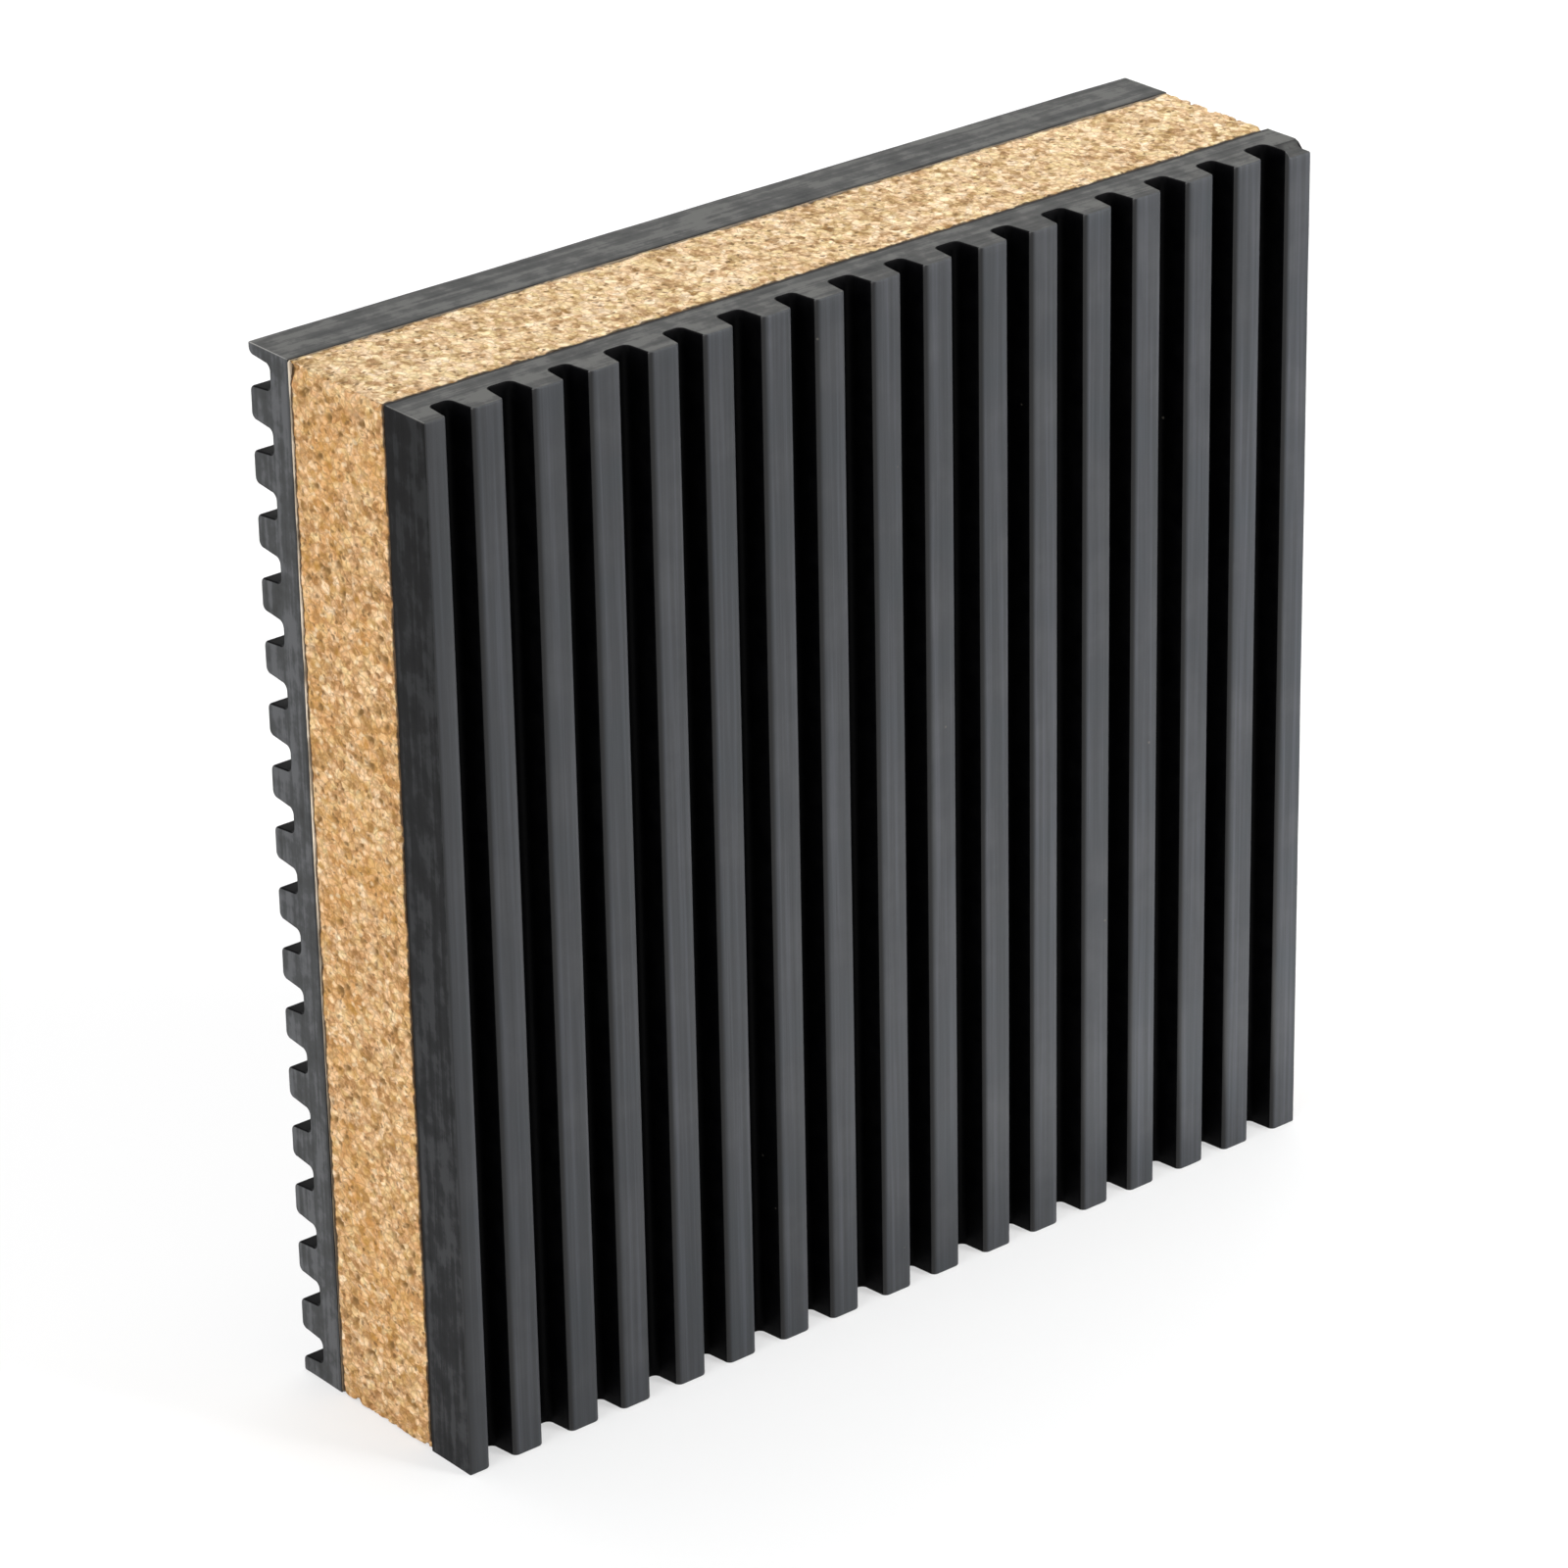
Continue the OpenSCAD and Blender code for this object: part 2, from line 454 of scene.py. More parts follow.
def corkCore(s):
    # The rounded loop carried through the thickness. Each point moves inwards by the relief of the granules
    # round it: a lift for each granule, a joint where two seeds are equally near, now and then a pit, lost
    # granules along the four corners and crumbled rims beside the rubber
    low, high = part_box("cork_core")
    lowXZ, highXZ = np.array([low.x, low.z]) / mm, np.array([high.x, high.z]) / mm
    loop, normals = roundedLoop(lowXZ, highXZ, s["corner"], s["step"])
    deep = np.linspace(low.y / mm, high.y / mm, round((high.y - low.y) / mm / s["step"]) + 1)
    grid = np.empty((len(deep), len(loop), 3))
    grid[..., 0], grid[..., 1], grid[..., 2] = loop[:, 0], deep[:, None], loop[:, 1]
    bend = np.stack([latticeNoise(grid, s["warpLength"], s["seed"] + 20 + k) for k in range(3)], -1)
    bent = grid + s["warp"] * bend
    near, second, tone = granuleField(bent * (1, s["pressed"], 1), s["granule"], s["seed"])
    # two more random numbers for each granule: what is left of multiples of its first one
    height, luck = (tone * 7.31) % 1, (tone * 3.77) % 1
    joint = 1 - smoothStep(0, s["gapWidth"], second - near)
    torn = (tone < s["pitShare"]) * (1 - smoothStep(*s["pitEdge"], near))
    relief = s["lift"] * height + s["gap"] * joint + s["pit"] * torn
    relief += s["fine"] * depthNoise(grid, s["fineLength"], s["seed"] + 40)
    inSet = np.minimum(loop - lowXZ, highXZ - loop).max(-1)
    lost = (luck < s["chipShare"]) * (1 - smoothStep(*s["chipEdge"], near))
    relief += s["chip"] * lost * (1 - smoothStep(s["chipWhole"] * s["chipReach"], s["chipReach"], inSet))
    rim = np.minimum(grid[..., 1] - deep[0], deep[-1] - grid[..., 1])
    crumble = depthNoise(grid, s["rimLength"], s["seed"] + 41)
    relief += s["rimCrumble"] * crumble ** 2 * (1 - smoothStep(0, s["rimReach"], rim))
    grid[..., 0] -= normals[:, 0] * relief
    grid[..., 2] -= normals[:, 1] * relief
    # painted sheen: 1 on faces that point up, where the paler top tones go
    bleached = smoothStep(*s["upward"], normals[:, 1]) * np.ones(grid.shape[:-1])
    values = {"granuleJoint": joint, "granulePit": torn * 1.0, "bleached": bleached}
    return [{"points": grid, "material": 0, "wrap": True}], values


# Adhesive films

filmSettings = {
    "corner": 0.4,          # radius of the corners
    "step": 0.6,            # distance between points along the bead
    "rows": 11,             # points round the bead, from one face of the film to the other
    "back": {"front": 0.2, "rear": 0.06},   # how far the bead stays behind the cut on average
    "leastBack": 0.01,
    "wander": 0.05,         # how far it wanders in and out, and over what length in X, Y and Z
    "wanderLength": (2.5, 9.0, 2.5),
    "reach": 0.32,          # how far the bead reaches into the joint
    "flare": 0.05,          # how far squeezed-out adhesive spreads to both sides
    "flush": 0.85,          # share of the set-back that it fills
    "creamFrom": 22.0,      # height where the pale bead begins to show, and where it is whole
    "creamTo": 56.0,
}


def bondFilm(side, squeezed, seed, s):
    # The loop carried through half a turn t: the film's edge lies at middle - cos t * (half + flare * sin t)
    # across and back + reach * (1 - sin t) inwards, and wanders in and out by a lattice noise. Where adhesive
    # was squeezed out along the left side, the bead is flush and flared and the value named cream goes to 1
    low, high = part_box(side + "_bond_film")
    middle, half = (low.y + high.y) / 2 / mm, (high.y - low.y) / 2 / mm
    lowXZ, highXZ = np.array([cadLow.x, cadLow.z]) / mm, np.array([cadHigh.x, cadHigh.z]) / mm
    loop, normals = roundedLoop(lowXZ, highXZ, s["corner"], s["step"])
    turn = np.linspace(0, math.pi, s["rows"])[:, None]
    grid = np.empty((s["rows"], len(loop), 3))
    grid[..., 0], grid[..., 1], grid[..., 2] = loop[:, 0], middle, loop[:, 1]
    uneven = latticeNoise(grid, s["wanderLength"], seed)
    left = smoothStep(0.2, 0.9, -normals[:, 0])     # 1 where the bead faces left
    patchy = smoothStep(-0.9, 0.1, uneven)          # breaks the cream off in a few places
    cream = squeezed * left * patchy * smoothStep(s["creamFrom"], s["creamTo"], loop[:, 1])
    back = (s["back"][side] + s["wander"] * uneven) * (1 - s["flush"] * cream)
    inwards = np.maximum(back, s["leastBack"]) + s["reach"] * (1 - np.sin(turn))
    grid[..., 0] -= normals[:, 0] * inwards
    grid[..., 1] = middle - np.cos(turn) * (half + s["flare"] * cream * np.sin(turn))
    grid[..., 2] -= normals[:, 1] * inwards
    return [{"points": grid, "material": 0, "wrap": True}], {"cream": cream}


# Materials. The sizes of their patterns are in millimetres, and tones are sRGB

rubberFinish = {
    "ior": 1.45,
    "rubbedCrestAndEdgeHighlight": (0.27, 0.03),         # depth below the crest where the painted shade of the flank gives way to the rubbed crest, and where the crest is whole
    "rightEdgeHighlight": 0.15,               # how much further down the crest tone reaches on the edge that faces right, as a painted highlight
    # painted near-black shade down the sides of a rib
    "flankShadeTone": "#020203",
    "line": (0.45, 2, 30),          # drag lines: their spacing, and their size into and along the ribs
    "lineTones": [(0.3, "#191c1f"), (0.5, "#27292d"), (0.72, "#3e4046")],
    "cloud": 7,                     # clouds of bloom
    "cloudTones": [(0.3, "#1f2529"), (0.5, "#27292c"), (0.7, "#37383a")],
    "paintedLightRamp": (0.93, 1.35),          # painted light: how bright the crests are at the left side and at the right
    "cutBand": 1.6,                 # width beside the left cut where it is rubbed thin
    "cutBloom": 0.55,
    "grain": 0.25,                  # grain of the skin
    "stain": 2,                     # mould stains in the grooves
    # painted near-black shade in the grooves, varied by the stains
    "grooveShadeTones": [(0.35, "#010102"), (0.7, "#060607")],
    "dustCell": 5,                  # a cell of this size holds one speck of dust or none
    "dustShare": 0.4,               # share of the cells with one
    "dustRadius": (0.16, 0.08),     # where a speck begins, and where it is whole
    "dustTone": "#4f4b45",
}


def addDust(tree, place, colour, s):
    # Stray dust over a colour: a small disc round the seed of some of the cells
    cells = addNode(tree, "TexVoronoi", {"Scale": 1 / (s["dustCell"] * mm)}, {"Vector": place})
    pick = addNode(tree, "SeparateXYZ", links={0: cells.outputs["Color"]})
    chosen = addNode(tree, "Math", {"operation": "LESS_THAN", 1: s["dustShare"]}, {0: pick.outputs["X"]})
    begins, whole = (radius / s["dustCell"] for radius in s["dustRadius"])
    nearby = addNode(tree, "MapRange", {"From Min": begins, "From Max": whole},
                     {"Value": cells.outputs["Distance"]})
    speck = addNode(tree, "Math", {"operation": "MULTIPLY"}, {0: chosen, 1: nearby})
    return addNode(tree, "Mix", {"data_type": "RGBA", "B": s["dustTone"]}, {"Factor": speck, "A": colour})


def makeRubber(name, ribsAlong, s):
    # Moulded black rubber: satin skin, painted near-black shade down the sides of a rib and rubbed grey on
    # its crest, with a painted highlight on the crest edge that faces right, drag lines along the ribs, a
    # cloudy bloom, and painted light that brightens the crests towards the right side
    material, tree = newMaterial(name)
    coordinates = addNode(tree, "TexCoord")
    place = coordinates.outputs["Object"]
    parts = addNode(tree, "SeparateXYZ", links={0: place})
    facing = addNode(tree, "SeparateXYZ", links={0: coordinates.outputs["Normal"]})
    # the crest mask: above it the rubbed crest tones, below it the flank's painted shade; on the edge that
    # faces right the crest tone reaches further down as a painted highlight
    fromMiddle = addNode(tree, "Math", {"operation": "ABSOLUTE"}, {0: parts.outputs["Y"]})
    uneven = addNode(tree, "Math", {"operation": "MULTIPLY_ADD", 1: s["rightEdgeHighlight"] * mm},
                     {0: facing.outputs["X"], 2: fromMiddle})
    begins, whole = (halfThickness - depth * mm for depth in s["rubbedCrestAndEdgeHighlight"])
    crest = addNode(tree, "MapRange", {"interpolation_type": "SMOOTHSTEP",
                    "From Min": begins, "From Max": whole}, {"Value": uneven})
    lineScale = [1 / (size * mm) for size in s["line"]]
    if ribsAlong == "X":
        lineScale.reverse()
    stretched = addNode(tree, "Mapping", {"Scale": lineScale}, {"Vector": place})
    lines = addNode(tree, "TexNoise", {"Scale": 1, "Detail": 3, "Roughness": 0.6}, {"Vector": stretched})
    clouds = addNode(tree, "TexNoise", {"Scale": 1 / (s["cloud"] * mm), "Detail": 4, "Roughness": 0.6},
                     {"Vector": place})
    grain = addNode(tree, "TexNoise", {"Scale": 1 / (s["grain"] * mm), "Detail": 2}, {"Vector": place})
    lineTone = addNode(tree, "ValToRGB", {"stops": s["lineTones"]}, {"Fac": lines})
    cloudTone = addNode(tree, "ValToRGB", {"stops": s["cloudTones"]}, {"Fac": clouds})
    rubbedCrestAndEdgeHighlight = addNode(tree, "Mix", {"data_type": "RGBA", "Factor": 0.5}, {"A": lineTone, "B": cloudTone})
    # painted light brightens the crests towards the right side, and the bloom is rubbed thin beside the left
    # cut
    atLeft, atRight = s["paintedLightRamp"]
    paintedLightRamp = addNode(tree, "MapRange", {"From Min": -halfWidth, "From Max": halfWidth,
                    "To Min": atLeft, "To Max": atRight}, {"Value": parts.outputs["X"]})
    cutSide = addNode(tree, "MapRange",
                      {"From Min": -halfWidth, "From Max": s["cutBand"] * mm - halfWidth,
                       "To Min": s["cutBloom"], "To Max": 1}, {"Value": parts.outputs["X"]})
    litAndThinned = addNode(tree, "Math", {"operation": "MULTIPLY"}, {0: paintedLightRamp, 1: cutSide})
    litCrestTone = addNode(tree, "VectorMath", {"operation": "SCALE"}, {0: rubbedCrestAndEdgeHighlight, "Scale": litAndThinned})
    colour = addNode(tree, "Mix", {"data_type": "RGBA", "A": s["flankShadeTone"]},
                     {"Factor": crest, "B": litCrestTone})
    dusted = addDust(tree, place, colour, s)
    # rubbed rubber is duller than the skin, most of all under the bloom
    crestRough = addNode(tree, "MapRange", {"To Min": 0.46, "To Max": 0.68}, {"Value": clouds})
    rough = addNode(tree, "MapRange", {"To Min": 0.3}, {"Value": crest, "To Max": crestRough})
    relief = addNode(tree, "Math", {"operation": "MULTIPLY_ADD", 1: 0.5}, {0: grain, 2: lines})
    bump = addNode(tree, "Bump", {"Strength": 0.25, "Distance": 0.05 * mm}, {"Height": relief})
    shader = addNode(tree, "BsdfPrincipled", {"IOR": s["ior"]},
                     {"Base Color": dusted, "Roughness": rough, "Normal": bump})
    addNode(tree, "OutputMaterial", links={"Surface": shader})
    return material


def makeGrooveRubber(s):
    # The same rubber in the grooves: painted near-black shade with stains, a weak gloss and dust in it
    material, tree = newMaterial("mouldedRubberGroove")
    place = addNode(tree, "TexCoord").outputs["Object"]
    stains = addNode(tree, "TexNoise", {"Scale": 1 / (s["stain"] * mm), "Detail": 4, "Roughness": 0.6},
                     {"Vector": place})
    tone = addNode(tree, "ValToRGB", {"stops": s["grooveShadeTones"]}, {"Fac": stains})
    dusted = addDust(tree, place, tone, s)
    rough = addNode(tree, "MapRange", {"To Min": 0.4, "To Max": 0.6}, {"Value": stains})
    grain = addNode(tree, "TexNoise", {"Scale": 1 / (s["grain"] * mm), "Detail": 2}, {"Vector": place})
    bump = addNode(tree, "Bump", {"Strength": 0.2, "Distance": 0.05 * mm}, {"Height": grain})
    shader = addNode(tree, "BsdfPrincipled", {"IOR": s["ior"], "Specular IOR Level": 0.05},
                     {"Base Color": dusted, "Roughness": rough, "Normal": bump})
    addNode(tree, "OutputMaterial", links={"Surface": shader})
    return material


cutFinish = {
    "ior": 1.45,
    "band": (18, 0.7, 18),          # knife bands, parallel to the layers: their size along X, Y and Z
    "patch": 3,                     # torn patches
    "frontCutTones": [(0.6, "#020202"), (0.87, "#0b0b0c"), (1.1, "#1e1f20")],
    # lower down on the front sheet these lighter tones mix in as painted light from below
    "litBelowTones": [(0.6, "#1b1d1e"), (0.87, "#2b2c2e"), (1.1, "#424345")],
    "rearSmear": [(0.6, "#3a3b3a"), (0.87, "#494a4b"), (1.1, "#5e5f61")],
    # the tones on top: dust with painted top light
    "dustAndTopLight": [(0.6, "#303131"), (0.9, "#474746"), (1.05, "#585856")],
    "litBelowFrom": 95,                # height where the front sheet's painted light from below begins, and where it is whole
    "litBelowTo": 25,
    "edge": (0.14, 0.06),           # distance from the side and the top where the painted edge highlight begins, and where it is whole
                                    # where it is whole
    "edgeHighlightTone": "#b9b7b2",
    "glue": (0.45, 0.2),            # the same from the film, for adhesive drawn over the rubber
    "glueTone": "#0b0806",
}


def makeCutRubber(s):
    # Rubber sliced by a knife: dull, with bands that run along the cut, painted light from below that
    # lightens the front sheet lower down, smeared on the rear sheet, paler on top from painted top light with
    # dust, and a painted highlight along the corner edge
    material, tree = newMaterial("knifeCutRubber")
    coordinates = addNode(tree, "TexCoord")
    place = coordinates.outputs["Object"]
    parts = addNode(tree, "SeparateXYZ", links={0: place})
    banded = addNode(tree, "Mapping", {"Scale": [1 / (size * mm) for size in s["band"]]}, {"Vector": place})
    bands = addNode(tree, "TexNoise", {"Scale": 1, "Detail": 3, "Roughness": 0.6}, {"Vector": banded})
    patches = addNode(tree, "TexNoise",
                      {"Scale": 1 / (s["patch"] * mm), "Detail": 5, "Roughness": 0.65}, {"Vector": place})
    mixed = addNode(tree, "Math", {"operation": "MULTIPLY_ADD", 1: 0.8}, {0: bands, 2: patches})
    frontCutTones, litBelowTones, rearSmear, dustAndTopLight = (addNode(tree, "ValToRGB", {"stops": s[key]}, {"Fac": mixed})
                                      for key in ("frontCutTones", "litBelowTones", "rearSmear", "dustAndTopLight"))
    # painted light from below: the front sheet's cut faces lighten towards the bottom
    lower = addNode(tree, "MapRange", {"From Min": s["litBelowFrom"] * mm, "From Max": s["litBelowTo"] * mm,
                    "To Max": 0.5}, {"Value": parts.outputs["Z"]})
    litFromBelow = addNode(tree, "Mix", {"data_type": "RGBA"}, {"Factor": lower, "A": frontCutTones, "B": litBelowTones})
    behind = addNode(tree, "MapRange", {"From Min": -mm, "From Max": mm, "To Max": 0.8},
                     {"Value": parts.outputs["Y"]})
    smearedAndLitBelow = addNode(tree, "Mix", {"data_type": "RGBA"}, {"Factor": behind, "A": litFromBelow, "B": rearSmear})
    # painted top light with dust: faces that point up take the paler tones
    facing = addNode(tree, "SeparateXYZ", links={0: coordinates.outputs["Normal"]})
    upward = addNode(tree, "MapRange", {"From Min": 0.5, "From Max": 0.9}, {"Value": facing.outputs["Z"]})
    tone = addNode(tree, "Mix", {"data_type": "RGBA"}, {"Factor": upward, "A": smearedAndLitBelow, "B": dustAndTopLight})
    # painted highlight along the corner edge of the rear sheet, and faintly along the front one
    fromSide = addNode(tree, "Math", {"operation": "ABSOLUTE"}, {0: parts.outputs["X"]})
    begins, whole = s["edge"]
    nearSide, nearTop = (
        addNode(tree, "MapRange", {"From Min": limit - begins * mm, "From Max": limit - whole * mm},
                {"Value": distance})
        for limit, distance in ((halfWidth, fromSide), (fullHeight, parts.outputs["Z"])))
    corner = addNode(tree, "Math", {"operation": "MULTIPLY"}, {0: nearSide, 1: nearTop})
    rear = addNode(tree, "MapRange", {"From Min": -mm, "From Max": mm, "To Min": 0.2, "To Max": 0.5},
                   {"Value": parts.outputs["Y"]})
    rubbedCrestAndEdgeHighlight = addNode(tree, "Math", {"operation": "MULTIPLY"}, {0: corner, 1: rear})
    highlighted = addNode(tree, "Mix", {"data_type": "RGBA", "B": s["edgeHighlightTone"]}, {"Factor": rubbedCrestAndEdgeHighlight, "A": tone})
    # the knife drew more adhesive over the rubber at the front
    fromMiddle = addNode(tree, "Math", {"operation": "ABSOLUTE"}, {0: parts.outputs["Y"]})
    begins, whole = (sheetInner + distance * mm for distance in s["glue"])
    drawn = addNode(tree, "MapRange", {"From Min": begins, "From Max": whole}, {"Value": fromMiddle})
    byJoint = addNode(tree, "MapRange",
                      {"From Min": -mm, "From Max": mm, "To Min": 0.85, "To Max": 0.4},
                      {"Value": parts.outputs["Y"]})
    drawnOut = addNode(tree, "Math", {"operation": "MULTIPLY"}, {0: drawn, 1: byJoint})
    gluey = addNode(tree, "Mix", {"data_type": "RGBA", "B": s["glueTone"]},
                    {"Factor": drawnOut, "A": highlighted})
    bump = addNode(tree, "Bump", {"Strength": 0.4, "Distance": 0.06 * mm}, {"Height": mixed})
    shader = addNode(tree, "BsdfPrincipled",
                     {"IOR": s["ior"], "Roughness": 0.7, "Specular IOR Level": 0.18},
                     {"Base Color": gluey, "Normal": bump})
    addNode(tree, "OutputMaterial", links={"Surface": shader})
    return material


corkFinish = {
    "bend": 0.7,            # size of the noise that bends the granules' outlines
    "bendReach": 0.6,       # how far it bends them from side to side
    "granule": 0.7,         # each has one tone
    "fleck": 0.5,           # flecks inside the granules
    "clump": 1.3,           # clumps of darker and paler granules
    "weights": (0.36, 0.85, 0.5),   # of the granules', flecks' and clumps' tones
    # the top's tones are paler and creamier than the sides': painted sheen
    "sides": [(0.36, "#a48258"), (0.48, "#c5a179"), (0.6, "#dabb96"), (0.71, "#e8cdac"),
              (0.84, "#f4e0c4"), (0.98, "#fcefdb")],
    "top": [(0.36, "#9c8364"), (0.48, "#bfa88a"), (0.59, "#d6c4ab"), (0.7, "#e4d6c1"),
            (0.83, "#f1e7d7"), (0.98, "#fbf6eb")],
    "hues": [(0.0, "#efdd9a"), (0.35, "#fae7b9"), (0.7, "#fddfb8"), (1.0, "#fff3df")],
    "drift": 4,             # ochre drifts on the sides
    "driftTone": "#d2a25c",
    "cell": 0.16,           # cells inside a granule
    "cellTones": [(0.3, "#dfd2c2"), (0.6, "#ffffff")],
    "gapCell": 0.8,         # distance between the gaps
    "gapTone": "#5e4222",
    # ochre patches, pale chips and bark specks: cell size, share of the cells, radius over the cell size,
    # turn, colour, and how strong they are on the sides and on top
    "specks": [(1.4, 0.26, 0.42, 3.0, "#a8792c", 0.55, 0.2), (0.9, 0.3, 0.4, 1.3, "#fdebc8", 0.4, 0.55),
               (0.9, 0.26, 0.32, 0.7, "#634320", 0.7, 0.7), (0.65, 0.32, 0.36, 2.2, "#584022", 0.6, 0.8)],
    "speckStretch": (0.8, 1.15, 1.15),  # half as long again as wide
    "hollowTone": "#7a5a30",
    "rim": 1.1,             # size of the noise along the edge of the soaked-in adhesive
    "rimTone": "#2c2016",
}


def makeCork(s):
    # Compressed cork granules, sawn: tan, cream and rust grains with dark bark specks, dry and matt, paler on
    # top as painted sheen, and brown where the adhesive soaked in
    material, tree = newMaterial("compressedCorkGranules")
    measured = addNode(tree, "TexCoord").outputs["Object"]
    # granules lie longer through the thickness
    place = addNode(tree, "Mapping", {"Scale": (1, corkSettings["pressed"], 1)}, {"Vector": measured})
    joint, pit, bleached = (addNode(tree, "Attribute", {"attribute_name": name}).outputs["Fac"]
                            for name in ("granuleJoint", "granulePit", "bleached"))
    bend = addNode(tree, "TexNoise", {"Scale": 1 / (s["bend"] * mm), "Detail": 2}, {"Vector": place})
    bent = addNode(tree, "VectorMath", {"operation": "MULTIPLY_ADD", 1: (s["bendReach"] * mm,) * 3},
                   {0: bend.outputs["Color"], 2: place})
    # one random tone for each granule, with flecks inside it, darker and paler in clumps
    grains = addNode(tree, "TexVoronoi",
                     {"feature": "SMOOTH_F1", "Scale": 1 / (s["granule"] * mm), "Smoothness": 0.3},
                     {"Vector": bent})
    flecks = addNode(tree, "TexNoise", {"Scale": 1 / (s["fleck"] * mm), "Detail": 3, "Roughness": 0.6},
                     {"Vector": place})
    clumps = addNode(tree, "TexNoise", {"Scale": 1 / (s["clump"] * mm), "Detail": 1}, {"Vector": bent})
    chance = addNode(tree, "SeparateXYZ", links={0: grains.outputs["Color"]})
    byGranule, byFleck, byClump = s["weights"]
    clumped = addNode(tree, "Math", {"operation": "MULTIPLY_ADD", 1: byClump, 2: -byClump / 2}, {0: clumps})
    share = addNode(tree, "Math", {"operation": "MULTIPLY_ADD", 1: byGranule},
                    {0: chance.outputs["X"], 2: clumped})
    tone = addNode(tree, "Math", {"operation": "MULTIPLY_ADD", 1: byFleck}, {0: flecks, 2: share})
    # painted sheen: the top takes paler, creamier tones
    sides, top = (addNode(tree, "ValToRGB", {"stops": s[key]}, {"Fac": tone}) for key in ("sides", "top"))
    drift = addNode(tree, "TexNoise", {"Scale": 1 / (s["drift"] * mm), "Detail": 2}, {"Vector": place})
    drifted = addNode(tree, "MapRange", {"From Min": 0.48, "From Max": 0.7, "To Max": 0.5},
                      {"Value": drift})
    warmed = addNode(tree, "Mix", {"data_type": "RGBA", "B": s["driftTone"]},
                     {"Factor": drifted, "A": sides})
    sheenedTop = addNode(tree, "Mix", {"data_type": "RGBA"}, {"Factor": bleached, "A": warmed, "B": top})
    hues = addNode(tree, "ValToRGB", {"stops": s["hues"]}, {"Fac": chance.outputs["Y"]})
    hued = addNode(tree, "Mix", {"data_type": "RGBA", "blend_type": "MULTIPLY", "Factor": 0.65},
                   {"A": sheenedTop, "B": hues})
    cells = addNode(tree, "TexNoise", {"Scale": 1 / (s["cell"] * mm), "Detail": 3, "Roughness": 0.7},
                    {"Vector": place})
    cellTone = addNode(tree, "ValToRGB", {"stops": s["cellTones"]}, {"Fac": cells})
    celled = addNode(tree, "Mix", {"data_type": "RGBA", "blend_type": "MULTIPLY", "Factor": 0.35},
                     {"A": hued, "B": cellTone})
    # brown gaps between the granules, 0.1 mm wide
    gaps = addNode(tree, "TexVoronoi",
                   {"feature": "DISTANCE_TO_EDGE", "Scale": 1 / (s["gapCell"] * mm)}, {"Vector": bent})
    gap = addNode(tree, "MapRange", {"From Min": 0.14, "From Max": 0.02, "To Max": 0.7},
                  {"Value": gaps.outputs["Distance"]})
    gapPart = addNode(tree, "Math", {"operation": "MULTIPLY"}, {0: gap, 1: flecks})
    blended = addNode(tree, "Mix", {"data_type": "RGBA", "B": s["gapTone"]},
                      {"Factor": gapPart, "A": celled})
    for size, share, radius, turn, hexColour, onSides, onTop in s["specks"]:
        moved = addNode(tree, "Mapping", {"Rotation": (turn, turn / 2, turn / 3), "Scale": s["speckStretch"]},
                        {"Vector": bent})
        specks = addNode(tree, "TexVoronoi", {"Scale": 1 / (size * mm)}, {"Vector": moved})
        pick = addNode(tree, "SeparateXYZ", links={0: specks.outputs["Color"]})
        chosen = addNode(tree, "Math", {"operation": "LESS_THAN", 1: share}, {0: pick.outputs["X"]})
        inside = addNode(tree, "MapRange", {"From Min": radius, "From Max": radius / 2},
                         {"Value": specks.outputs["Distance"]})
        speck = addNode(tree, "Math", {"operation": "MULTIPLY"}, {0: chosen, 1: inside})
        strength = addNode(tree, "MapRange", {"To Min": onSides, "To Max": onTop}, {"Value": bleached})
        part = addNode(tree, "Math", {"operation": "MULTIPLY"}, {0: speck, 1: strength})
        blended = addNode(tree, "Mix", {"data_type": "RGBA", "B": hexColour},
                          {"Factor": part, "A": blended})
    hollow = addNode(tree, "Math", {"operation": "MULTIPLY_ADD", "use_clamp": True, 1: 0.22},
                     {0: joint, 2: pit})
    stained = addNode(tree, "Mix", {"data_type": "RGBA", "B": s["hollowTone"]},
                      {"Factor": hollow, "A": blended})
    # adhesive soaked 0.1 to 0.3 mm into the rim beside each film, faintly at the rear of the top
    parts = addNode(tree, "SeparateXYZ", links={0: measured})
    fromMiddle = addNode(tree, "Math", {"operation": "ABSOLUTE"}, {0: parts.outputs["Y"]})
    rimNoise = addNode(tree, "TexNoise", {"Scale": 1 / (s["rim"] * mm), "Detail": 2}, {"Vector": place})
    shifted = addNode(tree, "Math", {"operation": "MULTIPLY_ADD", 1: 0.5 * mm},
                      {0: rimNoise, 2: fromMiddle})
    soaked = addNode(tree, "MapRange", {"From Min": corkHalf - 0.08 * mm,
                     "From Max": corkHalf + 0.1 * mm, "To Max": 0.9}, {"Value": shifted})
    behind = addNode(tree, "Math", {"operation": "GREATER_THAN", 1: 0}, {0: parts.outputs["Y"]})
    rearTop = addNode(tree, "Math", {"operation": "MULTIPLY"}, {0: behind, 1: bleached})
    fainter = addNode(tree, "Math", {"operation": "MULTIPLY_ADD", 1: -0.4, 2: 1}, {0: rearTop})
    soaking = addNode(tree, "Math", {"operation": "MULTIPLY"}, {0: soaked, 1: fainter})
    glued = addNode(tree, "Mix", {"data_type": "RGBA", "B": s["rimTone"]},
                    {"Factor": soaking, "A": stained})
    bump = addNode(tree, "Bump", {"Strength": 0.5, "Distance": 0.08 * mm}, {"Height": cells})
    shader = addNode(tree, "BsdfPrincipled", {"IOR": 1.35, "Roughness": 0.9},
                     {"Base Color": glued, "Normal": bump})
    addNode(tree, "OutputMaterial", links={"Surface": shader})
    return material


adhesiveFinish = {
    "cloud": 1.5,
    "frontDark": [(0.35, "#15110d"), (0.7, "#382a1e")],     # at the front joint
    "brown": [(0.35, "#453b2f"), (0.7, "#75664f")],     # at the rear joint
    "pale": [(0.35, "#b8a68e"), (0.65, "#e3d6c2")],     # where it was squeezed out
}


